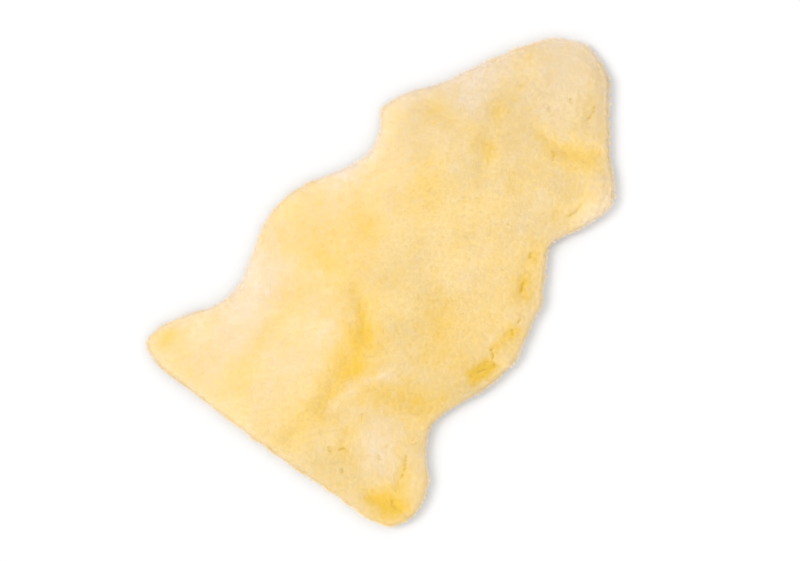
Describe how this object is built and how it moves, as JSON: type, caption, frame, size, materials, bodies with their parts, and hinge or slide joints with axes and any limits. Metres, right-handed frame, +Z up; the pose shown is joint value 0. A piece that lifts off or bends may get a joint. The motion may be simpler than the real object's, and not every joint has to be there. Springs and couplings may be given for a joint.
{
  "type": "lambskin rug",
  "caption": "Whole shorn lambskin lying flat, wool side up: long tapered skin with a rounded neck, two waists and a straight tail cut, dense pile on a flat hide.",
  "frame": {"origin": "on the plane that the hide lies on, under the middle of the skin's length and width", "axes": "+Y along the spine from the straight tail cut to the nape, +X to the skin's right seen from above with the nape at the top, +Z up out of the wool"},
  "size_m": [0.5591, 0.899, 0.0306],
  "materials": {
    "wool": "dense shorn wool pile, matt, honey yellow with paler tips"
  },
  "bodies": {
    "root": {"lambskin": "wool"}
  },
  "joints": []
}
